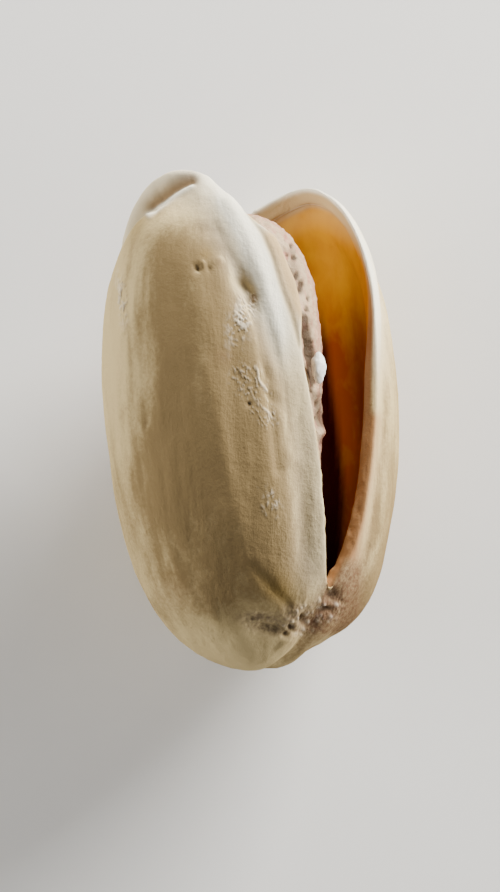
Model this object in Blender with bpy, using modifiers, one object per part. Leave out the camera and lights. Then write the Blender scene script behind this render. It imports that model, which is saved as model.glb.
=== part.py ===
"""A long pistachio in its split shell, lying on the back of one half.

The shell is one piece: two halves grown together at the stem end and sprung apart from
there to the tip. The kernel sits between them, close to the upper half, and a grain of
salt sticks to it.

The nut is shaped in its own frame, in millimetres, and then rolled onto its back:
    w  in the plane of the seam, towards the front seam, which is split the widest
    n  square to that plane, towards the lower half
    y  along the nut, from the stem end to the tip
In the world it lies along +Y, with the tip at +Y and +Z up.

A place on the shell is named by its bearing and its latitude on a ball. Bearing runs round
the seam: 0 at the tip, 90 in the middle of the front seam, 180 at the stem end and -90 in
the middle of the back seam. Latitude is 0 on the seam and 90 in the middle of each back.
"""
import math

import bmesh
import bpy
from mathutils import Matrix, Vector

MM = 0.001

# Overall form. Each triple is a half-width at the middle, what it gains towards the stem
# end, and what it gains towards both ends.
HALF_LENGTH = 10.65
ROLL = math.radians(46.0)            # the front seam leans this far from straight up
SEAM_WIDTH = (5.3, 0.6, 0.85)
UPPER_DEPTH = (4.85, 0.6, 0.55)
LOWER_DEPTH = (5.1, 2.1, 1.4)
TIP_LEAN = -0.018                    # how far the middle line drifts to one side, per length
STEM_LOBE = 0.12                     # the upper half reaches this much lower at the stem end
TIP_SKEW = 0.05                      # and the lower half this much further at the tip
LOWER_TIP_SHIFT = -0.4               # the lower half's tip leans towards the back seam
WALL = 0.7
RIM_ROUND = 0.2

# The split
OPENING = 0.172                      # how far each half leans out, per length
HINGE_Y = -10.5
RIM_RETREAT = 0.135                  # the halves have shrunk this much from the seam
FRONT_SPLIT_Y = -7.9                 # where the front split ends, near the stem
BACK_SPLIT_Y = -4.2

# The lip along each rim and the groove beside it, broader near the tip
LIP_HEIGHT = 0.28
GROOVE_DEPTH = 0.25
LIP_WIDTH = 0.45
LIP_WIDTH_AT_TIP = 0.85
CURLED_LIP = 0.6                     # the upper half's back lip curls out beside the tip
CURLED_GROOVE = 0.7

# Dents (and, where the depth is negative, bumps) on each half:
# bearing, latitude, length and width in degrees, turn of the long axis, depth
UPPER_DENTS = (
    (58, 22, 8, 5, 60, 0.30),
    (43, 39, 3.5, 3.5, 0, 0.09),
    (48, 31, 3.5, 3.5, 0, -0.08),
    (70, 36, 10, 7, 40, 0.12),
    (152, 22, 7, 5, 75, 0.28),
    (155, 34, 5, 4, 60, 0.13),
    (167, 14, 10, 12, 0, -0.4),
)
LOWER_DENTS = (
    (100, 30, 16, 6, 10, 0.12),
    (150, 27, 14, 10, 0, -0.28),
    (165, 14, 7, 5, 0, 0.35),
    (173, 6, 8, 7, 0, -0.2),
    (-90, 10, 35, 14, 0, -0.8),      # the belly is full here, under the weight
)
STEM_SCAR = (145, 3, 6, 0.22)        # bearing, latitude, radius in degrees, depth
SEAM_CREASE = 0.3

# Ridges down each half
RIDGE_HEIGHT = 0.04

# Kernel
KERNEL_TIP_Y = 9.2
KERNEL_STEM_Y = -9.5
KERNEL_WIDTH = (3.9, -0.5, 0.3)
KERNEL_DEPTH = (3.45, -0.3, 0.2)
KERNEL_OFFSET = -0.95                # its middle line, towards the upper half
KERNEL_BOW = 0.06                    # and how far that line comes back at the ends, per length
KERNEL_BLUNTNESS = 0.42
SKIN_WRINKLES = 0.06
SKIN_BUMP = (-0.7, 40, 0.22)         # y, angle, height

# Salt: half-sizes, and where the grain sits on the kernel
SALT_SIZE = (0.36, 0.32, 0.74)
SALT_Y = 2.1
SALT_ANGLE = 7

# Rest
REST_DEPTH = 0.5                     # the belly is flat this deep

# Mesh
SQUARES_PER_SIDE = 20
KERNEL_MERIDIANS = 28
KERNEL_RINGS = 26


def swell(factors, c):
    """A half-width along the nut. c is 1 at the stem end, 0 at the middle and -1 at the tip."""
    middle, stem, ends = factors
    return middle + stem * c + ends * c * c


def bump(distance, width):
    return math.exp(-((distance / width) ** 2))


def smooth(low, high, value):
    t = min(1.0, max(0.0, (value - low) / (high - low)))
    return t * t * (3.0 - 2.0 * t)


def split_end(ball):
    """How far down the split reaches on this side of the nut."""
    front = smooth(-0.4, 0.4, ball.x)
    return FRONT_SPLIT_Y * front + BACK_SPLIT_Y * (1.0 - front)


def half_gap(y, split_y, from_seam):
    """How far a half has moved off the seam's plane. from_seam is 0 on the seam, in radians."""
    lean = OPENING * max(0.0, y - HINGE_Y)
    free = min(1.0, max(0.0, (y - split_y) / 2.6)) ** 0.6
    near_seam = bump(from_seam, 0.35)
    return lean * (1.0 - (1.0 - free) * near_seam) + RIM_RETREAT * free * near_seam


def dent_at(bearing, latitude, dent):
    """One dent's depth at a place on the shell."""
    mid_bearing, mid_latitude, length, width, turn, depth = dent
    across = (bearing - mid_bearing) * math.cos(math.radians(mid_latitude))
    up = latitude - mid_latitude
    turn = math.radians(turn)
    along = across * math.cos(turn) + up * math.sin(turn)
    aside = up * math.cos(turn) - across * math.sin(turn)
    return depth * bump(along, length) * bump(aside, width)


def relief(ball, side, depth):
    """What stands off the smooth shell, in millimetres."""
    y = HALF_LENGTH * ball.z
    split_y = split_end(ball)
    free = smooth(split_y, split_y + 3.0, y)
    at_tip = smooth(1.0, 9.0, y)
    latitude = math.asin(min(1.0, abs(ball.y)))
    from_rim = latitude * depth
    lip_width = LIP_WIDTH + (LIP_WIDTH_AT_TIP - LIP_WIDTH) * at_tip
    raised = LIP_HEIGHT * bump(from_rim, lip_width)
    raised -= GROOVE_DEPTH * bump(from_rim - 2.3 * lip_width, 1.1 * lip_width)
    raised *= free

    bearing = math.degrees(math.atan2(ball.x, ball.z))
    latitude = math.degrees(latitude)
    for dent in LOWER_DENTS if side > 0 else UPPER_DENTS:
        raised -= dent_at(bearing, latitude, dent)

    mid_bearing, mid_latitude, radius, scar = STEM_SCAR
    signed = latitude if side > 0 else -latitude
    from_scar = math.hypot(bearing - mid_bearing, signed + mid_latitude)
    raised -= scar * bump(from_scar, radius)
    raised += 0.35 * scar * bump(from_scar - 1.7 * radius, 0.6 * radius)
    grown_together = smooth(split_y + 0.5, -10.0, y) * smooth(-0.2, 0.3, ball.x)
    raised -= SEAM_CREASE * bump(from_rim, 0.5) * grown_together

    ridges = math.sin(9.0 * math.radians(latitude) + 1.5 * math.sin(0.25 * y) + side)
    ridges += 0.6 * math.sin(17.0 * math.radians(latitude) + 1.1 * math.sin(0.4 * y + side))
    raised += RIDGE_HEIGHT * ridges * smooth(12.0, 35.0, latitude) * smooth(10.0, 3.0, abs(y))
    return raised


def shell_point(ball, side):
    """Where a point of a unit ball goes on the outside of the shell, in the nut's frame."""
    c = -ball.z
    y = HALF_LENGTH * ball.z
    width = swell(SEAM_WIDTH, c)
    depth = swell(LOWER_DEPTH if side > 0 else UPPER_DEPTH, c)
    lift = abs(ball.y)
    from_seam = math.asin(min(1.0, lift))
    n = side * (half_gap(y, split_end(ball), from_seam) + depth * lift)
    out = Vector((ball.x / width, side * lift / depth, ball.z / HALF_LENGTH)).normalized()
    place = Vector((width * ball.x, n, y)) + out * relief(ball, side, depth)
    if side < 0:
        beside_tip = smooth(5.5, 8.5, y) * smooth(0.35, -0.15, ball.x)
        from_rim = from_seam * depth
        place.y -= CURLED_LIP * beside_tip * bump(from_rim, 0.8)
        place -= out * CURLED_GROOVE * beside_tip * bump(from_rim - 1.5, 0.65)
    else:
        place.x += LOWER_TIP_SHIFT * smooth(5.5, 10.65, y)
    place.z += STEM_LOBE * place.y * smooth(2.0, -9.0, y)
    place.z += TIP_SKEW * place.y * smooth(2.0, 9.5, y)
    return place


def kernel_point(c, angle, raised=0.0):
    """The kernel's surface. angle runs once round it from the front seam, over the lower side."""
    middle = 0.5 * (KERNEL_TIP_Y + KERNEL_STEM_Y)
    y = middle - 0.5 * (KERNEL_TIP_Y - KERNEL_STEM_Y) * c
    round_end = max(0.0, 1.0 - c * c) ** KERNEL_BLUNTNESS
    wrinkles = math.sin(7.0 * angle + 0.5 * y) + 0.7 * math.sin(12.0 * angle - 0.9 * y + 1.0)
    wrinkles += 0.8 * math.sin(1.9 * y + 3.0 * angle)
    raised += SKIN_WRINKLES * wrinkles * round_end
    bump_y, bump_angle, height = SKIN_BUMP
    raised += height * bump(y - bump_y, 0.55) * bump(angle - math.radians(bump_angle), 0.16)
    w = (swell(KERNEL_WIDTH, c) * round_end + raised) * math.cos(angle)
    n = (swell(KERNEL_DEPTH, c) * round_end + raised) * math.sin(angle)
    return Vector((w, n + KERNEL_OFFSET + KERNEL_BOW * abs(y), y))


def roll_onto_back():
    """From the nut's frame in millimetres to the world in metres, before it is set down."""
    sin, cos = math.sin(ROLL), math.cos(ROLL)
    rolled = Matrix(((sin, cos, TIP_LEAN), (0.0, 0.0, 1.0), (cos, -sin, 0.0)))
    return (Matrix.Scale(MM, 3) @ rolled).to_4x4()


def new_object(name, shape, collection):
    mesh = bpy.data.meshes.new(name)
    shape.to_mesh(mesh)
    shape.free()
    made = bpy.data.objects.new(name, mesh)
    collection.objects.link(made)
    return made


def split_ball():
    """A unit ball of even squares, cut open along the seam down to where each split ends."""
    shape = bmesh.new()
    bmesh.ops.create_cube(shape, size=2.0)
    bmesh.ops.subdivide_edges(
        shape, edges=shape.edges, cuts=SQUARES_PER_SIDE - 1, use_grid_fill=True
    )
    for v in shape.verts:
        v.co = Vector([math.tan(p * math.pi / 4.0) for p in v.co]).normalized()
    cuts = []
    for edge in shape.edges:
        a, b = [v.co for v in edge.verts]
        split_y = FRONT_SPLIT_Y if a.x + b.x > 0 else BACK_SPLIT_Y
        on_seam = abs(a.y) < 1e-5 and abs(b.y) < 1e-5
        if on_seam and min(a.z, b.z) * HALF_LENGTH > split_y:
            cuts.append(edge)
    bmesh.ops.split_edges(shape, edges=cuts)
    return shape


def shape_shell():
    shape = split_ball()
    places = []
    for v in shape.verts:
        lean = sum(f.calc_center_median().y for f in v.link_faces)
        side = 0.0 if abs(lean) < 1e-3 else math.copysign(1.0, lean)
        latitude = math.asin(max(-1.0, min(1.0, v.co.y)))
        denser = latitude - 0.22 * math.sin(2.0 * latitude)
        across = math.cos(denser) / max(1e-6, math.hypot(v.co.x, v.co.z))
        ball = Vector((v.co.x * across, math.sin(denser), v.co.z * across))
        places.append(shell_point(ball, side))
    turn = roll_onto_back()
    for v, place in zip(shape.verts, places):
        v.co = turn @ place
    return shape


def shape_kernel():
    shape = bmesh.new()
    bmesh.ops.create_uvsphere(
        shape, u_segments=KERNEL_MERIDIANS, v_segments=KERNEL_RINGS, radius=1.0
    )
    turn = roll_onto_back()
    for v in shape.verts:
        v.co = turn @ kernel_point(-v.co.z, math.atan2(v.co.y, v.co.x))
    return shape


def shape_salt():
    shape = bmesh.new()
    bmesh.ops.create_icosphere(shape, subdivisions=2, radius=1.0)
    middle = 0.5 * (KERNEL_TIP_Y + KERNEL_STEM_Y)
    c = (middle - SALT_Y) / (0.5 * (KERNEL_TIP_Y - KERNEL_STEM_Y))
    centre = kernel_point(c, math.radians(SALT_ANGLE), SALT_SIZE[0] + 0.1)
    turn = roll_onto_back()
    for v in shape.verts:
        lumpy = 1.0 + 0.12 * math.sin(5.0 * v.co.x + 2.0) * math.sin(4.0 * v.co.z + 3.0 * v.co.y)
        grain = Vector([lumpy * size * p for size, p in zip(SALT_SIZE, v.co)])
        v.co = turn @ (centre + grain)
    return shape


def wear_flat(shape):
    """Flattens the belly where the nut rests."""
    lowest = min(v.co.z for v in shape.verts) + REST_DEPTH * MM
    for v in shape.verts:
        v.co.z = max(v.co.z, lowest)


def material(name, colour, roughness):
    made = bpy.data.materials.new(name)
    made.use_nodes = True
    surface = made.node_tree.nodes["Principled BSDF"]
    surface.inputs["Base Color"].default_value = (*colour, 1.0)
    surface.inputs["Roughness"].default_value = roughness
    surface.inputs["Metallic"].default_value = 0.0
    return made


def main():
    for old in list(bpy.data.objects):
        bpy.data.objects.remove(old)
    nut = bpy.data.collections.new("pistachio")
    bpy.context.scene.collection.children.link(nut)

    shell_shape = shape_shell()
    wear_flat(shell_shape)
    low = [min(v.co[i] for v in shell_shape.verts) for i in range(3)]
    high = [max(v.co[i] for v in shell_shape.verts) for i in range(3)]
    set_down = Vector((-0.5 * (low[0] + high[0]), -0.5 * (low[1] + high[1]), -low[2]))

    shapes = {"shell": shell_shape, "kernel": shape_kernel(), "salt_grain": shape_salt()}
    made = {}
    for name, shape in shapes.items():
        bmesh.ops.translate(shape, verts=shape.verts, vec=set_down)
        made[name] = new_object(name, shape, nut)

    wall = made["shell"].modifiers.new("wall", "SOLIDIFY")
    wall.thickness = WALL * MM
    wall.offset = -1.0
    rim = made["shell"].modifiers.new("rim", "BEVEL")
    rim.width = RIM_ROUND * MM
    rim.segments = 2
    rim.limit_method = "ANGLE"
    rim.angle_limit = math.radians(50)

    made["shell"].data.materials.append(material("dry_shell", (0.62, 0.50, 0.33), 0.65))
    made["kernel"].data.materials.append(material("kernel_skin", (0.55, 0.33, 0.25), 0.6))
    made["salt_grain"].data.materials.append(material("salt", (0.85, 0.85, 0.82), 0.35))


main()
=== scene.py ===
# %% [markdown]
# # A pistachio in its split shell
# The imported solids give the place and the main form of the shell, the kernel and one grain of
# salt. This notebook copies those solids, gives them the fine relief that a roasted and salted
# nut has, and finishes them with materials that need no pictures. The solids are loaded first,
# because every piece sits where they are.

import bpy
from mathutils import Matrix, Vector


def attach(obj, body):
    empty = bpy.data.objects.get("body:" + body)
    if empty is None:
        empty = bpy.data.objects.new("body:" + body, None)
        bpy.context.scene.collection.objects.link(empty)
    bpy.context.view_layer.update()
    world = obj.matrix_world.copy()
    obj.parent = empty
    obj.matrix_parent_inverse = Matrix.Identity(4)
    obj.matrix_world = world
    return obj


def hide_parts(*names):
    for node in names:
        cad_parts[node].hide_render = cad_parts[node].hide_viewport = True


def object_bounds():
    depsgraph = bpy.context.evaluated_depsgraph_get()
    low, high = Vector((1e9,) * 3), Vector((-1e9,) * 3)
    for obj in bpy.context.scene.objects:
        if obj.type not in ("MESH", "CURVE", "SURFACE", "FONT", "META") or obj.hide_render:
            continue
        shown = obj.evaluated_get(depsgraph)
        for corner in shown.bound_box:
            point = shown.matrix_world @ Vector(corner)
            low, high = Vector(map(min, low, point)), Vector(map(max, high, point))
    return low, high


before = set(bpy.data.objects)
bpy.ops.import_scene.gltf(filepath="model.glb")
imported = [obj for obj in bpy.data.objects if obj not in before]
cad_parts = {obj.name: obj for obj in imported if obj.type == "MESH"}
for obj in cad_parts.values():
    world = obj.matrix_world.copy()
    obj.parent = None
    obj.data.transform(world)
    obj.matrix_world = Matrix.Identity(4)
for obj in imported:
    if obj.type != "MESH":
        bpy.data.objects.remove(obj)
solid_low, solid_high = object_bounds()
print("solids from", [round(1000 * v, 2) for v in solid_low])
print("to", [round(1000 * v, 2) for v in solid_high], "mm")

# %% Tools for the whole notebook
import math
import random

import bpy
import numpy as np
from mathutils import Matrix, Vector, noise

MM = 0.001

# %% [markdown]
# ## Where things are on a nut
# A nut is easiest to describe in its own directions: along it, across the split, and away from
# the seam. The nut lies rolled onto the back of its lower half, so these directions are turned
# against the room. Two short functions turn points and normals of the room into them, with
# distances in millimetres from the middle of the nut. The rims, the wall and the ledge are
# worked out this way, while the small marks are placed by the pixel on which they are seen.

# %% The nut's own directions
NUT_CENTRE = Vector((-0.025, -0.171, 6.052)) * MM
ROLL = math.radians(46.0)
TIP_LEAN = -0.018
HALF_LENGTH, SEAM_HALF_WIDTH = 10.65, 5.5
HALF_DEPTH = {-1: 5.2, 1: 6.0}
SPREAD, HINGE_Y = 0.172, -10.5


def nut_places(points):
    """Millimetres from the nut's middle: in the seam's plane, away from it, and along the nut."""
    x, y, z = (points / MM - np.array(NUT_CENTRE) / MM).T
    x = x - TIP_LEAN * y
    in_seam = math.sin(ROLL) * x + math.cos(ROLL) * z
    off_seam = math.cos(ROLL) * x - math.sin(ROLL) * z
    return in_seam, off_seam, y


def nut_directions(normals):
    """The same three directions for normals, which have a direction and no place."""
    x, y, z = normals.T
    return math.sin(ROLL) * x + math.cos(ROLL) * z, math.cos(ROLL) * x - math.sin(ROLL) * z, y


# %% [markdown]
# ## The camera
# The nut is seen from nearly straight above, with its tip at the top of the picture. A long
# lens close by keeps the slight narrowing towards the far side of the nut. Small marks are
# easiest to place as they are seen, so a function says on which pixel a point of the room falls.

# %% Camera
CAMERA_ELEVATION = math.radians(83.5)
CAMERA_DISTANCE = 146 * MM
PICTURE_PIXELS = (500, 892)
PICTURE_HEIGHT = 38.87 * MM
to_camera = Vector((0.0, -math.cos(CAMERA_ELEVATION), math.sin(CAMERA_ELEVATION)))
picture_up = Vector((0.0, math.sin(CAMERA_ELEVATION), math.cos(CAMERA_ELEVATION)))
picture_right = Vector((1.0, 0.0, 0.0))
aim = NUT_CENTRE - 0.044 * MM * picture_right - 0.906 * MM * picture_up

camera = bpy.data.objects.new("camera", bpy.data.cameras.new("camera"))
bpy.context.scene.collection.objects.link(camera)
camera.data.sensor_width = 36.0
camera.data.lens = 36.0 * CAMERA_DISTANCE / PICTURE_HEIGHT
camera.data.clip_start = 0.01
camera.matrix_world = Matrix.LocRotScale(
    aim + CAMERA_DISTANCE * to_camera,
    Matrix((picture_right, picture_up, to_camera)).transposed().to_quaternion(),
    None,
)
bpy.context.scene.camera = camera
PIXELS_PER_METRE = PICTURE_PIXELS[1] / PICTURE_HEIGHT
print("lens", round(camera.data.lens, 1), "mm,", round(PIXELS_PER_METRE * MM, 2), "pixels to a millimetre")


def picture_places(points):
    """The pixel on which each point of the room is seen."""
    from_aim = points - np.array(aim)
    scale = PIXELS_PER_METRE * CAMERA_DISTANCE / (CAMERA_DISTANCE - from_aim @ np.array(to_camera))
    across = PICTURE_PIXELS[0] / 2 + (from_aim @ np.array(picture_right)) * scale
    down = PICTURE_PIXELS[1] / 2 - (from_aim @ np.array(picture_up)) * scale
    return np.stack([across, down], axis=1)


# %% Reading, moving and painting the points of a mesh
def points_of(piece):
    flat = np.empty(len(piece.data.vertices) * 3, np.float32)
    piece.data.vertices.foreach_get("co", flat)
    return flat.reshape(-1, 3).astype(float)


def normals_of(piece):
    flat = np.empty(len(piece.data.vertices) * 3, np.float32)
    piece.data.vertex_normals.foreach_get("vector", flat)
    return flat.reshape(-1, 3).astype(float)


def put_points(piece, places):
    piece.data.vertices.foreach_set("co", places.astype(np.float32).ravel())
    piece.data.update()


def push(piece, heights):
    """Moves each point along its normal by so many millimetres, and keeps it in the solids' box."""
    moved = points_of(piece) + normals_of(piece) * (heights * MM)[:, None]
    put_points(piece, np.clip(moved, np.array(solid_low), np.array(solid_high)))


def paint(piece, name, values):
    """Keeps one number at each point, which a material reads by its name."""
    layer = piece.data.attributes.new(name, "FLOAT", "POINT")
    layer.data.foreach_set("value", np.clip(values, 0.0, 1.0).astype(np.float32))


def smooth(low, high, values):
    """0 at low and 1 at high, with a soft start and end. low may be the larger of the two."""
    t = np.clip((values - low) / (high - low), 0.0, 1.0)
    return t * t * (3.0 - 2.0 * t)


def soft_noise(places, size, octaves=3, seed=0.0):
    """Cloudy noise from about -1 to 1. size is the width of one cloud, one number or three."""
    scaled = places / np.broadcast_to(np.array(size, float), (3,)) + seed
    return np.array([noise.fractal(p, 0.9, 2.0, octaves) for p in scaled])


def oval(pixels, centre, reach, turn=0.0):
    """1 in the middle of an oval on the picture, falling away softly past its reach."""
    across, down = (pixels - np.array(centre)).T
    turn = math.radians(turn)
    along = across * math.cos(turn) + down * math.sin(turn)
    aside = down * math.cos(turn) - across * math.sin(turn)
    return np.exp(-((along / reach[0]) ** 2) - (aside / reach[1]) ** 2)


def sum_of_ovals(pixels, places):
    """Ovals added up, each given by its middle, its reach, its turn and how strong it is."""
    return sum(strong * oval(pixels, place, reach, turn) for place, reach, turn, strong in places)


def nearest_oval(pixels, places):
    """How far into the nearest of several ovals each point is, each given without a strength."""
    return np.max([oval(pixels, *place) for place in places], axis=0)


def right_of(pixels, line):
    """How many pixels each point is to the right of a line that runs down the picture."""
    across, down = zip(*line)
    return pixels[:, 0] - np.interp(pixels[:, 1], down, across)


def stroke(pixels, line, reach):
    """1 on a line through the given pixels, falling away softly past its reach."""
    nearest = np.full(len(pixels), 1e9)
    for start, end in zip(line, line[1:]):
        start, along = np.array(start, float), np.array(end, float) - np.array(start, float)
        share = np.clip(((pixels - start) @ along) / (along @ along), 0.0, 1.0)
        nearest = np.minimum(nearest, ((pixels - start - share[:, None] * along) ** 2).sum(axis=1))
    return np.exp(-nearest / reach**2)


# %% Working on one piece by itself
def pick_only(piece):
    bpy.ops.object.select_all(action="DESELECT")
    piece.select_set(True)
    bpy.context.view_layer.objects.active = piece


def finish_modifier(piece, kind, **settings):
    pick_only(piece)
    modifier = piece.modifiers.new(kind.lower(), kind)
    for name, value in settings.items():
        setattr(modifier, name, value)
    bpy.ops.object.modifier_apply(modifier=modifier.name)


def copy_of_solid(node, name, levels):
    """A merged, four-sided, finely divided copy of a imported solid."""
    piece = bpy.data.objects.new(name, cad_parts[node].data.copy())
    bpy.context.scene.collection.objects.link(piece)
    piece.data.materials.clear()
    pick_only(piece)
    bpy.ops.object.mode_set(mode="EDIT")
    bpy.ops.mesh.select_all(action="SELECT")
    bpy.ops.mesh.remove_doubles(threshold=0.004 * MM)
    bpy.ops.mesh.tris_convert_to_quads(
        face_threshold=math.radians(50), shape_threshold=math.radians(60)
    )
    bpy.ops.object.mode_set(mode="OBJECT")
    finish_modifier(piece, "SUBSURF", levels=levels, render_levels=levels)
    pick_only(piece)
    bpy.ops.object.shade_smooth()
    print(name, "has", len(piece.data.polygons), "faces")
    return piece


def middles_and_normals(piece):
    """The middle and the normal of every face."""
    found = []
    for what in ("center", "normal"):
        flat = np.empty(len(piece.data.polygons) * 3, np.float32)
        piece.data.polygons.foreach_get(what, flat)
        found.append(flat.reshape(-1, 3).astype(float))
    return found


def divide_faces(piece, chosen, cuts):
    """Divides the chosen faces of a piece into finer ones."""
    pick_only(piece)
    bpy.ops.object.mode_set(mode="EDIT")
    bpy.ops.mesh.select_mode(type="FACE")
    bpy.ops.mesh.select_all(action="DESELECT")
    bpy.ops.object.mode_set(mode="OBJECT")
    piece.data.polygons.foreach_set("select", chosen)
    bpy.ops.object.mode_set(mode="EDIT")
    bpy.ops.mesh.subdivide(number_cuts=cuts, smoothness=0.0)
    bpy.ops.object.mode_set(mode="OBJECT")
    triangles = sum(len(face.vertices) - 2 for face in piece.data.polygons)
    print(int(chosen.sum()), "faces divided,", piece.name, "has", triangles, "triangles")


# %% [markdown]
# ## Materials from nodes
# Each material reads Object coordinates, which stay with the piece, and turns them into
# millimetres. The patterns are of three kinds: cloudy blotches, streaks that run along the nut,
# and a fine grain. Each is a node group, built once and used at the size a material needs.

# %% Small helpers for nodes
def add_node(tree, kind, **settings):
    node = tree.nodes.new(kind)
    for name, value in settings.items():
        if name in node.inputs:
            node.inputs[name].default_value = value
        else:
            setattr(node, name, value)
    return node


def join(tree, output, target):
    tree.links.new(output, target)


def mix_colours(tree, share, first, second):
    """A node that mixes two colours, each a colour or another node's output."""
    node = tree.nodes.new("ShaderNodeMix")
    node.data_type = "RGBA"
    share_socket, first_socket, second_socket = node.inputs[0], node.inputs[6], node.inputs[7]
    for value, target in ((share, share_socket), (first, first_socket), (second, second_socket)):
        if hasattr(value, "links"):
            join(tree, value, target)
        elif isinstance(value, tuple):
            target.default_value = (*value, 1.0)
        else:
            target.default_value = value
    return node.outputs[2]


def calculate(tree, how, first, second=0.0, clamp=False):
    node = tree.nodes.new("ShaderNodeMath")
    node.operation = how
    node.use_clamp = clamp
    for value, target in ((first, node.inputs[0]), (second, node.inputs[1])):
        if hasattr(value, "links"):
            join(tree, value, target)
        else:
            target.default_value = value
    return node.outputs[0]


def between(tree, value, low, high, out_low=0.0, out_high=1.0):
    """Turns the range low to high into another range, smoothly and without going past its ends."""
    node = tree.nodes.new("ShaderNodeMapRange")
    node.interpolation_type = "SMOOTHSTEP"
    join(tree, value, node.inputs["Value"])
    ends = {"From Min": low, "From Max": high, "To Min": out_low, "To Max": out_high}
    for name, number in ends.items():
        node.inputs[name].default_value = number
    return node.outputs["Result"]


def painted(tree, name):
    """The numbers that were painted on the piece under this name."""
    node = tree.nodes.new("ShaderNodeAttribute")
    node.attribute_name = name
    return node.outputs["Fac"]


# %% Node groups: blotches, streaks and grain
def pattern_group(name, stretch, detail, roughness, distortion):
    """A group that gives one changing value from millimetres, at the size it is asked for."""
    group = bpy.data.node_groups.new(name, "ShaderNodeTree")
    group.interface.new_socket("Millimetres", in_out="INPUT", socket_type="NodeSocketVector")
    group.interface.new_socket("Per millimetre", in_out="INPUT", socket_type="NodeSocketFloat")
    group.interface.new_socket("Value", in_out="OUTPUT", socket_type="NodeSocketFloat")
    inside = group.nodes.new("NodeGroupInput")
    outside = group.nodes.new("NodeGroupOutput")
    stretched = add_node(group, "ShaderNodeMapping", vector_type="POINT")
    stretched.inputs["Scale"].default_value = stretch
    cloud = add_node(
        group, "ShaderNodeTexNoise", Detail=detail, Roughness=roughness, Distortion=distortion
    )
    join(group, inside.outputs["Millimetres"], stretched.inputs["Vector"])
    join(group, stretched.outputs["Vector"], cloud.inputs["Vector"])
    join(group, inside.outputs["Per millimetre"], cloud.inputs["Scale"])
    join(group, cloud.outputs[0], outside.inputs["Value"])
    return group


BLOTCHES = pattern_group("blotches", (1.0, 0.7, 1.0), 3.0, 0.55, 0.4)
STREAKS = pattern_group("streaks_along_the_nut", (1.0, 0.16, 1.0), 4.0, 0.6, 0.3)
GRAIN = pattern_group("fine_grain", (1.0, 1.0, 1.0), 5.0, 0.65, 0.0)


def start_material(name):
    """A new material, its node tree, its surface node and the coordinates in millimetres."""
    made = bpy.data.materials.new(name)
    made.use_nodes = True
    tree = made.node_tree
    surface = tree.nodes["Principled BSDF"]
    where = tree.nodes.new("ShaderNodeTexCoord")
    in_mm = tree.nodes.new("ShaderNodeMapping")
    in_mm.inputs["Scale"].default_value = (1000.0, 1000.0, 1000.0)
    join(tree, where.outputs["Object"], in_mm.inputs["Vector"])
    return made, tree, surface, in_mm.outputs["Vector"]


def pattern(tree, group, in_mm, per_mm):
    node = tree.nodes.new("ShaderNodeGroup")
    node.node_tree = group
    join(tree, in_mm, node.inputs["Millimetres"])
    node.inputs["Per millimetre"].default_value = per_mm
    return node.outputs["Value"]


def share_of(tree, name, strength, speckle=None):
    """A painted mask times a strength, broken up by a speckle if one is given."""
    share = calculate(tree, "MULTIPLY", painted(tree, name), strength)
    if speckle is not None:
        share = calculate(tree, "MULTIPLY", share, speckle)
    return share


def swayed(tree, value, clouds, clamp=False):
    """Adds each (pattern, how strongly it sways about its middle) to a value."""
    for cloud, amount in clouds:
        sway = calculate(tree, "MULTIPLY", calculate(tree, "SUBTRACT", cloud, 0.5), amount)
        value = calculate(tree, "ADD", value, sway, clamp=clamp)
    return value


def bump_from(tree, surface, heights):
    """Adds each (height, how many millimetres it stands) to the surface's normal, in turn."""
    last = None
    for height, stands in heights:
        bump = tree.nodes.new("ShaderNodeBump")
        bump.inputs["Strength"].default_value = 1.0
        bump.inputs["Distance"].default_value = stands * MM
        join(tree, height, bump.inputs["Height"])
        if last is not None:
            join(tree, last, bump.inputs["Normal"])
        last = bump.outputs["Normal"]
    join(tree, last, surface.inputs["Normal"])


# %% [markdown]
# ## The shell
# A pistachio's shell is thin, hard and dry, like bleached wood. Lengthwise it has faint ridges,
# where the fibres of the husk lay against it, and its rims are drawn up into pale lips. Inside
# it is smooth and amber, darker towards the stem end, partly in its own colour and partly as
# painted shade, with a painted glow towards the tip. The solid has the two halves, the split,
# the lips and the larger dents. A copy of it has its rims rounded, is divided finely where it
# is seen, and has one rim drawn out and the other tip widened. Its points are then pushed in
# and out a little, as with a sculpting brush: first a fine relief all over the outside, then
# the larger marks of this nut, and last what is salted or scarred, where the faces are finer
# still.

# %% Where the salt, the scar and the tip's hollow are, in pixels
SALT_PATCHES = (
    ((242, 319), (11, 26), 20),
    ((122, 300), (5, 24), -5),
    ((275, 500), (4, 11), -25),
)
WRINKLED = (((248, 380), (22, 20), 40), ((264, 412), (14, 20), -40), ((268, 505), (8, 22), -20))
SQUIGGLES = (
    ((256, 366), (258, 374), (259, 381), (265, 389), (271, 393)),
    ((244, 390), (252, 397), (258, 404), (268, 412), (277, 423)),
)
SCAR_OVALS = (((266, 624), (28, 12), 12), ((300, 620), (22, 17), 0), ((330, 606), (18, 15), -30))
TIP_CRESCENT = ((153, 207), (161, 199), (170, 191), (180, 184), (190, 179))
TIP_RIDGE = ((149, 215), (157, 208), (165, 203), (175, 195), (183, 190), (191, 186))

# %% A copy of the shell with rounded rims
RIM_SMOOTHINGS = 8
shell = copy_of_solid("shell", "shell_halves", 1)


def rim_places(points):
    """Which half each point is on, how far from that half's rim, and how far along the nut."""
    in_seam, off_seam, along_nut = nut_places(points)
    half = np.where(off_seam > 0, 1.0, -1.0)
    gap = SPREAD * np.maximum(0.0, along_nut - HINGE_Y)
    return half, off_seam * half - gap, along_nut


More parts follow.
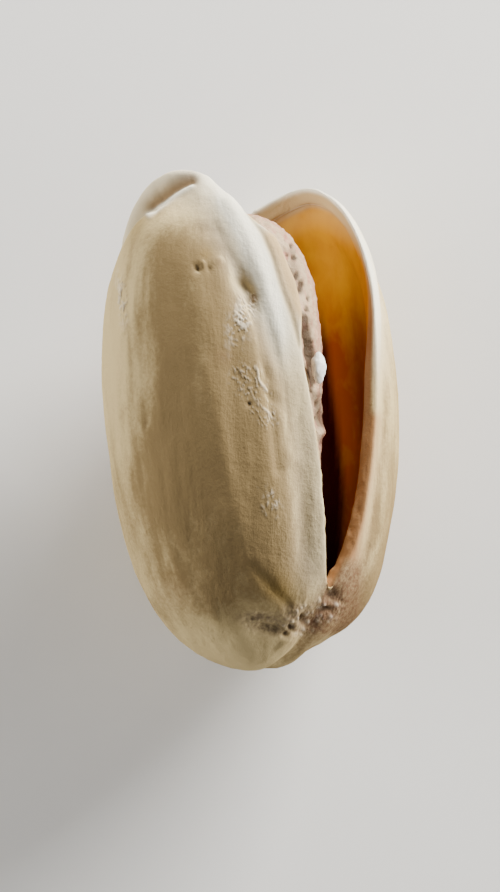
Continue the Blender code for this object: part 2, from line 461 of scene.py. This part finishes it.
half, from_rim, along_nut = rim_places(points_of(shell))
rims = shell.vertex_groups.new(name="rims")
nearness = smooth(0.8, 0.35, np.abs(from_rim)) * smooth(-9.0, -7.5, along_nut)
WEIGHT_STEP = 0.25
for weight in (0.25, 0.5, 0.75, 1.0):
    members = np.flatnonzero(np.abs(nearness - weight) <= WEIGHT_STEP / 2)
    rims.add([int(v) for v in members], weight, "REPLACE")
finish_modifier(shell, "SMOOTH", factor=0.5, iterations=RIM_SMOOTHINGS, vertex_group="rims")
print("rims rounded on", int((nearness > 0.1).sum()), "points")

# %% Pare the lower half's rim from within, most of all near its tip, and smooth its inner edge
PARED = 0.45
PARED_BELOW = 0.15
OUTLINE_SECTORS = 90
CREASE_SMOOTHINGS = 6


def from_outer_edge(points):
    """How far each point lies inside the outline of the rims, in millimetres of the seam's plane."""
    in_seam, _, along_nut = nut_places(points)
    half, from_rim, _ = rim_places(points)
    turn = np.arctan2(in_seam / SEAM_HALF_WIDTH, along_nut / HALF_LENGTH)
    out = np.hypot(in_seam / SEAM_HALF_WIDTH, along_nut / HALF_LENGTH)
    at_rim = np.flatnonzero((half > 0) & (np.abs(from_rim) < 0.5))
    sectors = ((turn[at_rim] + math.pi) / (2 * math.pi) * OUTLINE_SECTORS).astype(int)
    edge = np.zeros(OUTLINE_SECTORS)
    np.maximum.at(edge, sectors % OUTLINE_SECTORS, out[at_rim])
    centres = (np.arange(OUTLINE_SECTORS) + 0.5) / OUTLINE_SECTORS * 2 * math.pi - math.pi
    reach = np.hypot(SEAM_HALF_WIDTH * np.sin(turn), HALF_LENGTH * np.cos(turn))
    return (np.interp(turn, centres, edge, period=2 * math.pi) - out) * reach


half, from_rim, along_nut = rim_places(points_of(shell))
inset = from_outer_edge(points_of(shell))
pared = PARED * smooth(0.1, 0.6, inset) * smooth(1.3, 0.2, from_rim) * (half > 0)
pared = pared * np.interp(along_nut, (2.5, 6.0), (PARED_BELOW, 1.0))
pared = pared * smooth(-8.5, -6.0, along_nut)
off_direction = np.array((math.cos(ROLL), 0.0, -math.sin(ROLL)))
put_points(shell, points_of(shell) + np.outer(pared * MM, off_direction))
finish_modifier(shell, "SMOOTH", factor=0.5, iterations=RIM_SMOOTHINGS, vertex_group="rims")
half, from_rim, along_nut = rim_places(points_of(shell))
inner_edge = shell.vertex_groups.new(name="inner_edge")
crease = (half > 0) & (from_outer_edge(points_of(shell)) > 0.4)
crease = crease & (from_rim < 1.4) & (along_nut > 4.0)
inner_edge.add([int(v) for v in np.flatnonzero(crease)], 1.0, "REPLACE")
finish_modifier(
    shell, "SMOOTH", factor=0.5, iterations=CREASE_SMOOTHINGS, vertex_group="inner_edge"
)
print("pared", int((pared > 0.05).sum()), "points")

# %% Finer faces where the outside is seen, and finest where it is salted or scarred
def seen_outer_faces(piece):
    """The faces that the camera sees on the outside and on the rims, and the pixels they are at."""
    middles, face_normals = middles_and_normals(piece)
    half, from_rim, _ = rim_places(middles)
    away_from_seam = np.stack(nut_directions(face_normals))[1] * half
    seen = face_normals @ np.array(to_camera) > 0.12
    return seen & ((away_from_seam > -0.3) | (from_rim < 0.5)), picture_places(middles)


seen_outer, pixels = seen_outer_faces(shell)
divide_faces(shell, seen_outer, 2)

seen_outer, pixels = seen_outer_faces(shell)
fine = [nearest_oval(pixels, SALT_PATCHES + SCAR_OVALS + WRINKLED[:2])]
fine += [stroke(pixels, line, 4.0) for line in SQUIGGLES]
fine.append(0.6 * stroke(pixels, TIP_RIDGE, 8.0))
divide_faces(shell, seen_outer & (np.max(fine, axis=0) > 0.3), 1)

# %% Draw the upper half's rim out over the kernel, as a low ledge under the lip
LEDGE_ALONG = (1.6, 2.6, 3.4, 4.2, 5.5, 6.5, 7.4, 8.0, 8.6, 9.2, 9.9, 10.5)
LEDGE_REACH = (0.0, 0.08, 0.27, 0.52, 0.66, 0.60, 0.62, 0.20, -0.15, -0.35, -0.30, -0.10)
LEDGE_SINK = 0.25
half, from_rim, along_nut = rim_places(points_of(shell))
in_seam, _, _ = nut_places(points_of(shell))
ledge = np.interp(along_nut, LEDGE_ALONG, LEDGE_REACH)
ledge = ledge * smooth(np.where(ledge > 0.0, 1.0, 2.2), 0.1, from_rim)
ledge = ledge * smooth(0.6, 2.2, in_seam) * (half < 0)
drawn_out = np.outer(ledge, (MM, 0.0, -LEDGE_SINK * MM))
put_points(shell, points_of(shell) + drawn_out)
print("ledge of", int((ledge > 0.1).sum()), "points")

# %% Widen the lower half's tip to the left
TIP_WIDENED = 0.5
left_of_tip = smooth(300.0, 262.0, picture_places(points_of(shell))[:, 0])
left_of_tip = left_of_tip * smooth(8.0, 9.2, along_nut)
widened = np.outer(TIP_WIDENED * left_of_tip * (half > 0), (-MM, 0.0, 0.0))
put_points(shell, points_of(shell) + widened)
drawn_out = drawn_out + widened
print("tip widened at", int((left_of_tip * (half > 0) > 0.1).sum()), "points")

# %% Which way each point of the shell faces
half, from_rim, along_nut = rim_places(points_of(shell) - drawn_out)
in_seam, _, _ = nut_places(points_of(shell))
facing = np.stack(nut_directions(normals_of(shell)), axis=1)
depth = np.where(half > 0, HALF_DEPTH[1], HALF_DEPTH[-1])
outward = np.stack(
    [in_seam / SEAM_HALF_WIDTH**2, half * from_rim / depth**2, along_nut / HALF_LENGTH**2], axis=1
)
outward /= np.linalg.norm(outward, axis=1, keepdims=True)
faces_out = (outward * facing).sum(axis=1)
looks_up = normals_of(shell) @ np.array(to_camera)
ear = (half < 0) * smooth(5.5, 7.0, along_nut) * smooth(0.0, 0.2, looks_up)
is_inside = smooth(0.0, -0.4, faces_out) * (1.0 - ear)
on_rim = smooth(-0.35, -0.6, facing[:, 1] * half) * smooth(0.9, 0.6, from_rim)
inset = from_outer_edge(points_of(shell) - drawn_out)
rim_width = np.interp(along_nut, (2.0, 6.0, 8.0, 9.3), (0.85, 0.60, 0.50, 0.80))
past_rim = smooth(-0.2, 0.2, inset - rim_width)
past_rim = np.where(half > 0, past_rim, 0.0) * smooth(-7.2, -5.6, along_nut)
within_rim = np.maximum(is_inside, on_rim) * past_rim
is_inside = np.where((half > 0) & (from_rim < 0.9), within_rim, is_inside)
is_rim = on_rim * (1.0 - is_inside) * np.where(half > 0, smooth(0.10, 0.40, inset), 1.0)
is_outside = np.clip(1.0 - is_inside - is_rim, 0.0, 1.0)
for side, share in (("outside", is_outside), ("inside", is_inside), ("rim", is_rim)):
    print(side, int(share.sum()), "points")

# %% Fine relief all over the outside, and nicks in the rims towards the stem end
FIBRES_HIGH, CLOUDS_HIGH, GRAIN_HIGH, NICKS_HIGH = 0.035, 0.035, 0.010, 0.05
places_mm = points_of(shell) / MM
relief = FIBRES_HIGH * soft_noise(places_mm, (0.9, 5.0, 0.9), 2)
relief += CLOUDS_HIGH * soft_noise(places_mm, (1.6, 2.4, 1.6), 2, 7.0)
relief += GRAIN_HIGH * soft_noise(places_mm, 0.45, 3, 3.0)
nicks = NICKS_HIGH * soft_noise(places_mm, 0.3, 2, 11.0) * is_rim * smooth(0.0, -3.0, along_nut)
push(shell, relief * is_outside + nicks)
print("relief from", round(relief.min(), 2), "to", round(relief.max(), 2), "mm")

# %% The larger marks of this nut: a place, its reach in pixels, its turn and how far it goes in
HOLLOWS = (
    ((243, 285), (13, 5), 38, 0.11),
    ((250, 303), (5, 7), 20, 0.08),
    ((211, 232), (7, 6), 0, 0.07),
    ((197.5, 268), (4, 3.5), 30, 0.16),
    ((209, 268.5), (2.5, 3.5), 0, 0.08),
    ((219, 261), (5, 5), 0, -0.09),
    ((202.5, 263.5), (2.6, 2.6), 0, -0.13),
    ((224, 243), (6, 8), -30, -0.05),
    ((268, 373), (5, 14), -20, 0.07),
    ((249, 404), (2.2, 2.4), 0, 0.10),
    ((275, 400), (5, 9), -40, 0.09),
    ((146, 422), (3, 6), 10, 0.06),
    ((270, 629), (18, 5), 10, 0.20),
    ((258, 616), (15, 3), 5, 0.08),
    ((260, 621), (12, 1.8), 5, -0.06),
    ((334, 596), (8, 8), 0, 0.15),
    ((238, 560), (8, 30), -12, 0.05),
)
LONG_RIDGES = (
    (((205, 365), (220, 430), (234, 500), (246, 560)), 8, 0.05),
    (((172, 560), (196, 610), (236, 632)), 9, 0.05),
    (((178, 250), (172, 330), (182, 420)), 14, -0.04),
    (((252, 566), (272, 588), (288, 606)), 5, -0.06),
    (((278, 648), (286, 642), (293, 636)), 2.5, 0.07),
    (((216, 225), (230, 256), (247, 292), (260, 340), (270, 400), (278, 470)), 5, -0.08),
)
LIP_CREST = ((228, 200), (248, 236), (264, 280), (279, 335), (288, 395), (294, 460))
LEDGE_GROOVE = ((246, 210), (262, 232), (273, 258), (281, 286), (292, 316), (300, 345))
CREST_HIGH, TIP_RIDGE_HIGH, TIP_CRESCENT_DEEP, LEDGE_GROOVE_DEEP = 0.12, 0.10, 0.24, 0.08
pixels = picture_places(points_of(shell))
looks_up = normals_of(shell) @ np.array(to_camera)
seen = smooth(0.02, 0.25, looks_up) * is_outside
marks = -sum_of_ovals(pixels, HOLLOWS)
marks += sum(high * stroke(pixels, line, reach) for line, reach, high in LONG_RIDGES)
marks += CREST_HIGH * stroke(pixels, LIP_CREST, 8)
marks += TIP_RIDGE_HIGH * stroke(pixels, TIP_RIDGE, 3.5)
marks -= TIP_CRESCENT_DEEP * stroke(pixels, TIP_CRESCENT, 6.5)
marks -= LEDGE_GROOVE_DEEP * stroke(pixels, LEDGE_GROOVE, 2.6)
push(shell, marks * seen)
print("deepest mark", round(-marks.min(), 2), "mm, highest", round(marks.max(), 2), "mm")

# %% Salt crust, squiggles of dried brine, and the torn scar at the stem end
HOLES = (
    ((291, 628), (3, 3), 0, 0.28),
    ((302.5, 618.5), (2.4, 4), 10, 0.32),
    ((325, 609.5), (6, 2.6), 0, 0.24),
    ((285, 635), (4, 3), 0, 0.14),
    ((252, 619), (3, 2), 0, 0.08),
    ((333, 596), (5, 6), 0, 0.12),
)
CRUMBS = (
    (318, 601), (324, 605), (337, 605), (292, 622), (282, 646), (296, 634), (312, 612), (331, 617)
)
SCAR_MIDDLE, SCAR_SPREAD, LOOSE_CRUMBS = (312, 616), (17, 11), 45
crust_places = points_of(shell) / MM
fine_grain = soft_noise(crust_places, 0.14, 3, 5.0)
ragged = soft_noise(crust_places, 0.4, 3, 9.0)
sways = [soft_noise(crust_places, 0.25, 2, seed) for seed in (21.0, 31.0)]
sway = np.stack(sways, axis=1)
salted = nearest_oval(pixels, SALT_PATCHES) * seen
salted = salted * smooth(-0.1, 0.4, ragged + 0.8 * fine_grain + 0.5 * (salted - 0.5))
brine = np.max([stroke(pixels + 1.2 * sway, line, 1.2) for line in SQUIGGLES], axis=0)
brine = brine * seen * smooth(-0.5, 0.3, ragged)
scarred = smooth(0.15, 0.7, nearest_oval(pixels, SCAR_OVALS) * seen)

dice = random.Random(7)
crumbs = list(CRUMBS)
for _ in range(LOOSE_CRUMBS):
    across = dice.gauss(SCAR_MIDDLE[0], SCAR_SPREAD[0])
    down = dice.gauss(SCAR_MIDDLE[1], SCAR_SPREAD[1])
    crumbs.append((across, down))
crumb_high = np.zeros(len(pixels))
for place in crumbs:
    size = dice.uniform(1.0, 2.0)
    crumb_high = np.maximum(crumb_high, 0.03 * size * oval(pixels, place, (size, size)))

holes = sum_of_ovals(pixels, HOLES)
wrinkled = nearest_oval(pixels, WRINKLED) * seen
slanted = pixels @ np.array(((0.64, -0.77), (0.77, 0.64)))
folds = soft_noise(np.column_stack([slanted / (13.0, 4.5), ragged]), 1.0, 2, 4.0)
folds = smooth(0.16, 0.0, np.abs(folds)) * smooth(0.25, 0.7, wrinkled)
folds = folds * smooth(-0.5, 0.2, fine_grain)
brine = np.maximum(brine, 0.8 * folds)
crust = 0.06 * salted * (0.6 + 1.1 * fine_grain) + 0.05 * brine * (1.0 + 0.4 * fine_grain)
crust += (0.05 * ragged + 0.018 * fine_grain + crumb_high) * scarred - holes
push(shell, crust * seen)
print("crust from", round(crust.min(), 2), "to", round(crust.max(), 2), "mm")

# %% Where the outside is tanned, pale, blushed, scarred or salted, and where shade and highlights are painted on it
# painted shade: these ovals darken the hollows that are pushed into the shell and the corner by the stem
HOLLOW_SHADES = (
    ((270, 629), (17, 4.5), 10, 0.42),
    ((258, 616), (15, 3), 5, 0.35),
    ((334, 596), (7, 7), 0, 0.5),
    ((254, 301), (4, 5), 20, 0.3),
    ((197.5, 268), (3.2, 2.8), 30, 0.5),
    ((209, 268.5), (2, 3), 0, 0.3),
    ((249, 404), (2.2, 2.4), 0, 0.7),
    ((146, 422), (2.5, 6), 10, 0.35),
    ((370, 546), (1.6, 5), 10, 0.6),
    ((345, 582), (6, 15), 20, 0.4),
)
# the shell's own olive tints, and painted shade in the dents by the tip and beside the lip
OLIVE_TINTS_AND_SHADES = (
    ((243, 286), (13, 5), 38, 0.5),
    ((254, 294), (5, 12), -25, 0.4),
    ((206, 254), (7, 6), 0, 0.5),
    ((138, 224), (9, 22), 25, 0.6),
    ((270, 590), (9, 26), -42, 0.35),
    ((288, 600), (5, 22), -42, 0.35),
    ((283, 590), (16, 22), -40, 0.5),
)
BLUSH = (
    ((316, 624), (28, 18), -10, 0.8),
    ((343, 586), (15, 28), 20, 2.2),
    ((340, 614), (20, 16), -20, 1.4),
    ((254, 298), (4, 4), 20, 1.0),
    ((220, 262), (4, 4), 0, 0.4),
    ((224, 356), (8, 9), 0, 0.35),
    ((298, 645), (14, 6), 0, 0.3),
    ((176, 594), (24, 20), 20, 0.22),
    ((132, 246), (6, 16), 25, 0.2),
)
looks_up = normals_of(shell) @ np.array(to_camera)
# painted shade: the tan is strongest where the shell faces straight up, so the top of the nut is darker
# than its sides; the tan at the stem end and on the lower half is its own colour
tan_and_shade = smooth(0.45, 0.97, looks_up) * smooth(-10.5, -5.5, along_nut) * smooth(10.5, 6.5, along_nut)
tan_and_shade += 0.35 * smooth(2.0, -5.0, along_nut) * smooth(-10.6, -7.5, along_nut)
tan_and_shade += 0.4 * (half > 0)
lip = np.exp(-((from_rim / 1.3) ** 2)) * is_outside * smooth(-9.0, -6.0, along_nut)
# the tip's hollow is painted brown: partly a stain, partly painted shade
tip_hollow_stain_and_shade = stroke(pixels, TIP_CRESCENT, 9.5) * seen
# painted highlight along the ridge at the tip
tip_ridge_highlight = stroke(pixels, TIP_RIDGE, 3.0) * seen
paint(shell, "tan_and_shade", tan_and_shade * (1.0 - 0.85 * lip))
lip = lip * (1.0 - np.where(half > 0, 0.95, 0.8) * smooth(6.0, 0.5, along_nut))
# painted highlight: a pale stroke along the crest of the upper half's lip
crest_highlight = stroke(pixels, LIP_CREST, 9) * smooth(1.0, 6.0, along_nut)
ledge_beige = smooth(0.1, 0.5, ledge) * smooth(-5.0, 4.0, right_of(pixels, LEDGE_GROOVE[:-1]))
paint(shell, "lip", lip + tip_ridge_highlight + 1.2 * crest_highlight)
# painted shade: a darker line along the groove under the lip
groove_shade = 0.7 * stroke(pixels, LEDGE_GROOVE, 3.5)
seen_rim = smooth(0.02, 0.25, looks_up) * (1.0 - is_inside)
paint(shell, "olive_tint_and_shade", (sum_of_ovals(pixels, OLIVE_TINTS_AND_SHADES) + groove_shade) * seen)
paint(shell, "tip_hollow_stain_and_shade", tip_hollow_stain_and_shade * (1.0 - tip_ridge_highlight))
# painted shade in the hollows and, stronger, in the scar's holes
paint(shell, "hollow_shade", sum_of_ovals(pixels, HOLLOW_SHADES) * seen + 5.0 * holes * seen)
paint(shell, "blush", sum_of_ovals(pixels, BLUSH) * seen_rim)
paint(shell, "salted", np.maximum(0.8 * salted, 0.6 * brine) + 9.0 * crumb_high * scarred)
paint(shell, "scarred", scarred)
print("tan on", int((tan_and_shade > 0.5).sum()), "points, scarred", int((scarred > 0.5).sum()))

# %% Where the inside is gold, rust red or nearly black: its own amber, a painted glow towards the tip and painted shade in its depth and beside the kernel
LOW_RIM = ((370, 420), (365, 470), (358, 520), (350, 552))
SHADOW_EDGE = (
    (311, 250), (321, 300), (327, 340), (331, 380), (334, 400),
    (338, 430), (343, 470), (345, 503), (343, 537), (341, 560),
)
soft_edge = 0.3 + 1.1 * smooth(6.5, 9.0, along_nut)
right_of_shadow = right_of(pixels, SHADOW_EDGE)
in_front = smooth(-2.5, -1.0, in_seam)
# the gold towards the tip is partly the inside's own amber and partly a painted glow of light through the
# thin shell; the wall right of the shadow is painted less rusty, as painted light
to_rust_from_glow = smooth(7.5, 0.5, along_nut) + 0.12 * from_rim
to_rust_from_glow -= 0.15 * smooth(5.0, 18.0, right_of_shadow) * in_front
# painted shade: nearly black in the shadow beside the kernel, and deeper below the rim at the back
maroon_shade = smooth(5.0, -5.0, right_of_shadow) * in_front
maroon_shade += smooth(2.5, 5.0, from_rim) * (1.0 - in_front)
maroon_shade = maroon_shade * smooth(7.0, 3.5, along_nut)
paint(shell, "inside", is_inside * smooth(-0.1, 1.0, from_rim / soft_edge))
low_rim = 1.2 * stroke(pixels, LOW_RIM, 9.0) * (half > 0)
bare_rim = np.maximum(is_rim + is_inside, 0.95 * ledge_beige)
paint(shell, "rim", np.maximum(bare_rim, low_rim))
paint(shell, "to_rust_from_glow", to_rust_from_glow)
paint(shell, "maroon_shade", maroon_shade)
pink_patch = 0.8 * oval(pixels, (309, 208), (11, 6)) + 0.7 * oval(pixels, (303, 217), (4, 3))
brown_dot = oval(pixels, (369, 393), (2.0, 3.0))
tanned = (smooth(8.5, 3.0, along_nut) + pink_patch + brown_dot) * (half > 0)
paint(shell, "rim_tan", tanned + 0.4 * ledge_beige)
print("inside painted on", int((is_inside > 0.5).sum()), "points")

# %% Shell material
CREAM, OLIVE_BROWN = (0.60, 0.465, 0.235), (0.24, 0.168, 0.078)
PALE_LIP_AND_HIGHLIGHT, HOLLOW_SHADE_BROWN, OLIVE_TINT_AND_DENT_SHADE = (0.95, 0.91, 0.76), (0.09, 0.06, 0.038), (0.20, 0.13, 0.036)
DUSTY_PINK, TIP_STAIN_AND_SHADE = (0.16, 0.085, 0.048), (0.14, 0.068, 0.020)
GOLD, RUST, SHADE_MAROON = (0.58, 0.26, 0.006), (0.30, 0.052, 0.001), (0.024, 0.0008, 0.0001)
RIM_BEIGE, RIM_TAN = (0.60, 0.44, 0.22), (0.33, 0.175, 0.08)
SALT_WHITE, SCAR_GREY = (0.74, 0.66, 0.53), (0.27, 0.20, 0.15)

shell_finish, tree, surface, in_mm = start_material("dry_shell")
streaks = pattern(tree, STREAKS, in_mm, 0.9)
blotches = pattern(tree, BLOTCHES, in_mm, 0.28)
grain = pattern(tree, GRAIN, in_mm, 6.0)
speckle = between(tree, grain, 0.35, 0.65, 0.35, 1.0)
faint_speckle = between(tree, grain, 0.35, 0.65, 0.6, 1.0)
# the shell's own cream and olive brown, with painted shade mixed into the tan on the top of the nut
tint = swayed(tree, painted(tree, "tan_and_shade"), ((streaks, 1.3), (blotches, 1.3), (grain, 0.6)))
outer = mix_colours(tree, between(tree, tint, -0.1, 1.0), CREAM, OLIVE_BROWN)
# pale lips in their own colour, with painted highlights on the lip's crest and the tip's ridge
outer = mix_colours(tree, share_of(tree, "lip", 0.85), outer, PALE_LIP_AND_HIGHLIGHT)
outer = mix_colours(tree, share_of(tree, "olive_tint_and_shade", 0.8), outer, OLIVE_TINT_AND_DENT_SHADE)
outer = mix_colours(tree, share_of(tree, "tip_hollow_stain_and_shade", 0.85), outer, TIP_STAIN_AND_SHADE)
outer = mix_colours(tree, share_of(tree, "scarred", 0.5, speckle), outer, SCAR_GREY)
outer = mix_colours(tree, share_of(tree, "blush", 0.95, faint_speckle), outer, DUSTY_PINK)
outer = mix_colours(tree, share_of(tree, "hollow_shade", 0.95, speckle), outer, HOLLOW_SHADE_BROWN)
outer = mix_colours(tree, share_of(tree, "salted", 0.7), outer, SALT_WHITE)
stains = pattern(tree, BLOTCHES, in_mm, 0.9)
rust_share = swayed(
    tree, painted(tree, "to_rust_from_glow"), ((streaks, 0.8), (stains, 0.9)), clamp=True
)
# the inside's amber, with a painted glow in the gold and painted shade in the nearly black maroon
inner = mix_colours(tree, rust_share, GOLD, RUST)
inner = mix_colours(tree, painted(tree, "maroon_shade"), inner, SHADE_MAROON)
rim_colour = mix_colours(tree, painted(tree, "rim_tan"), RIM_BEIGE, RIM_TAN)
colour = mix_colours(tree, painted(tree, "rim"), outer, rim_colour)
colour = mix_colours(tree, painted(tree, "inside"), colour, inner)
join(tree, colour, surface.inputs["Base Color"])
join(tree, between(tree, painted(tree, "inside"), 0.0, 1.0, 0.6, 0.4), surface.inputs["Roughness"])
surface.inputs["Specular IOR Level"].default_value = 0.0
dry = calculate(tree, "SUBTRACT", 1.0, painted(tree, "inside"))
fibres = calculate(tree, "MULTIPLY", streaks, dry)
pores = calculate(tree, "MULTIPLY", grain, dry)
bump_from(tree, surface, ((fibres, 0.08), (pores, 0.03)))
shell.data.materials.append(shell_finish)
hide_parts("shell")
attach(shell, "root")
print(shell_finish.name, "has", len(tree.nodes), "nodes")

# %% [markdown]
# ## The kernel
# The kernel wears a thin papery skin, pink-white where it has dried and lifted, with wrinkles
# and small pits. The solid gives its form. Cloudy noise wrinkles a fine copy of it, and the
# pits and creases are pushed in where they are seen.

# %% Kernel with wrinkled skin
KERNEL_PITS = (
    ((294, 258), (3.0, 2.4), 0, 0.16),
    ((299, 265), (2.5, 2.5), 0, -0.06),
    ((291, 273), (5, 7), -20, 0.07),
    ((308, 299), (2.2, 3.5), 0, 0.14),
    ((307, 310), (2.5, 3.2), 0, 0.15),
    ((300, 290), (3, 6), -20, 0.07),
    ((286, 291), (2.5, 4), 0, 0.08),
    ((309, 350), (3.8, 19.0), -10, 0.34),
    ((313, 378), (3.0, 12.0), -5, 0.14),
    ((322, 432), (6, 7), 0, -0.30),
    ((323, 441), (2.5, 3), 0, 0.12),
)
CREVICE_SHADE = (
    (((290, 252), (300, 290)), 0.6),
    (((303, 318), (309, 345), (314, 378)), 1.6),
    (((316, 395), (320, 425)), 0.8),
)
SMALL_PITS, PITTED_ACROSS, PITTED_DOWN = 110, (284, 324), (228, 440)
kernel = copy_of_solid("kernel", "kernel_in_its_skin", 3)
kernel_mm = points_of(kernel) / MM
kernel_pixels = picture_places(points_of(kernel))
folds = 0.5 - np.abs(soft_noise(kernel_mm, (0.9, 2.4, 0.9), 3))
wrinkles = 0.10 * folds + 0.06 * soft_noise(kernel_mm, 0.45, 3, 5.0)
wrinkles += 0.02 * soft_noise(kernel_mm, 0.18, 2, 8.0)
pits = sum_of_ovals(kernel_pixels, KERNEL_PITS)
for _ in range(SMALL_PITS):
    place = (dice.uniform(*PITTED_ACROSS), dice.uniform(*PITTED_DOWN))
    size = dice.uniform(1.1, 2.4)
    deep = dice.uniform(-0.09, 0.15)
    turn = dice.uniform(-40, 20)
    pits = pits + deep * oval(kernel_pixels, place, (size, 1.5 * size), turn)
pits = pits * smooth(0.0, 0.3, normals_of(kernel) @ np.array(to_camera))
push(kernel, wrinkles - pits)
print("pits from", round(pits.min(), 2), "to", round(pits.max(), 2), "mm deep")

# %% Painted shade in the skin's creases, pits and the crevice by the lip, where it is pink, and its material
# painted shade: dark brown in the crevice between the lip and the kernel, in the valleys of the wrinkles
# and in the pits
crevice_shade = sum(dark * stroke(kernel_pixels, line, 4.5) for line, dark in CREVICE_SHADE)
crease_shade = 0.3 * smooth(0.01, -0.06, wrinkles) + smooth(0.02, 0.1, pits)
paint(kernel, "crease_shade", crease_shade + crevice_shade)
kernel_up = normals_of(kernel) @ np.array(to_camera)
paint(kernel, "pink", smooth(0.5, 0.15, kernel_up) * (0.3 + 0.7 * smooth(-0.3, 0.1, kernel_up)))

SKIN_PALE, SKIN_PINK = (0.49, 0.36, 0.225), (0.44, 0.21, 0.145)
SKIN_SHADE_BROWN = (0.035, 0.018, 0.008)
kernel_finish, tree, surface, in_mm = start_material("papery_skin")
grain = pattern(tree, GRAIN, in_mm, 3.0)
blotches = pattern(tree, BLOTCHES, in_mm, 1.4)
colour = mix_colours(tree, between(tree, blotches, 0.5, 0.72), SKIN_PALE, SKIN_PINK)
colour = mix_colours(tree, share_of(tree, "pink", 0.8), colour, SKIN_PINK)
colour = mix_colours(tree, share_of(tree, "crease_shade", 0.92), colour, SKIN_SHADE_BROWN)
join(tree, colour, surface.inputs["Base Color"])
join(tree, between(tree, grain, 0.3, 0.7, 0.45, 0.75), surface.inputs["Roughness"])
surface.inputs["Specular IOR Level"].default_value = 0.15
bump_from(tree, surface, ((grain, 0.14),))
kernel.data.materials.append(kernel_finish)
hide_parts("kernel")
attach(kernel, "root")
print(kernel_finish.name, "has", len(tree.nodes), "nodes")

# %% [markdown]
# ## The grain of salt
# Roasted nuts are salted wet, so the salt dries on them in rounded, cloudy crystals.

# %% Salt grain
SALT_CLEAR, SALT_CLOUDY = (0.97, 0.97, 0.95), (0.88, 0.87, 0.84)
salt = copy_of_solid("salt_grain", "salt_crystal", 2)
salt_mm = points_of(salt) / MM
push(salt, 0.06 * soft_noise(salt_mm, 0.35, 3, 2.0))
salt_finish, tree, surface, in_mm = start_material("cloudy_salt")
grain = pattern(tree, GRAIN, in_mm, 5.0)
join(tree, mix_colours(tree, grain, SALT_CLEAR, SALT_CLOUDY), surface.inputs["Base Color"])
join(tree, between(tree, grain, 0.3, 0.7, 0.2, 0.45), surface.inputs["Roughness"])
bump_from(tree, surface, ((grain, 0.04),))
salt.data.materials.append(salt_finish)
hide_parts("salt_grain")
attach(salt, "root")

# %% [markdown]
# ## Floor and light
# The nut lies on a plain pale floor. The light is that of a small product table: a large soft
# box low beyond the tip, a strip at each side that draws the bright edges, and a weak fill from
# above, so that the back of the upper half stays a little darker than its edges.

# %% Floor
FLOOR_LIGHT, FLOOR_DARK = (0.88, 0.87, 0.85), (0.85, 0.84, 0.82)
bpy.ops.object.select_all(action="DESELECT")
bpy.ops.mesh.primitive_circle_add(
    vertices=96, radius=1.5, fill_type="NGON", location=(0.0, 0.0, 0.0)
)
floor = bpy.context.object
floor.name = "floor"
floor_finish, tree, surface, in_mm = start_material("pale_floor")
grain = pattern(tree, GRAIN, in_mm, 0.5)
join(tree, mix_colours(tree, grain, FLOOR_LIGHT, FLOOR_DARK), surface.inputs["Base Color"])
surface.inputs["Roughness"].default_value = 0.8
floor.data.materials.append(floor_finish)


# %% Lights
def soft_box(name, place, size, watts, colour=(1.0, 1.0, 1.0)):
    light = bpy.data.lights.new(name, "AREA")
    light.shape = "RECTANGLE"
    light.size, light.size_y = size
    light.energy = watts
    light.color = colour
    stand = bpy.data.objects.new(name, light)
    bpy.context.scene.collection.objects.link(stand)
    stand.location = place
    stand.rotation_mode = "QUATERNION"
    stand.rotation_quaternion = (Vector(place) - NUT_CENTRE).to_track_quat("Z", "Y")
    stand.visible_camera = False


soft_box("key_beyond_tip", (0.12, 0.14, 0.07), (0.12, 0.07), 1.45, (1.0, 0.98, 0.93))
soft_box("strip_left", (-0.18, 0.03, 0.045), (0.16, 0.05), 0.42, (1.0, 0.97, 0.92))
soft_box("strip_right", (0.18, -0.02, 0.035), (0.16, 0.05), 0.26, (1.0, 0.97, 0.92))
soft_box("fill_above", (-0.02, -0.05, 0.26), (0.12, 0.12), 0.06)
ROOM_COLOUR, ROOM_STRENGTH = (0.9, 0.9, 0.92, 1.0), 0.12
room = bpy.data.worlds.new("studio")
room.use_nodes = True
background = room.node_tree.nodes["Background"]
background.inputs["Color"].default_value = ROOM_COLOUR
background.inputs["Strength"].default_value = ROOM_STRENGTH
bpy.context.scene.world = room
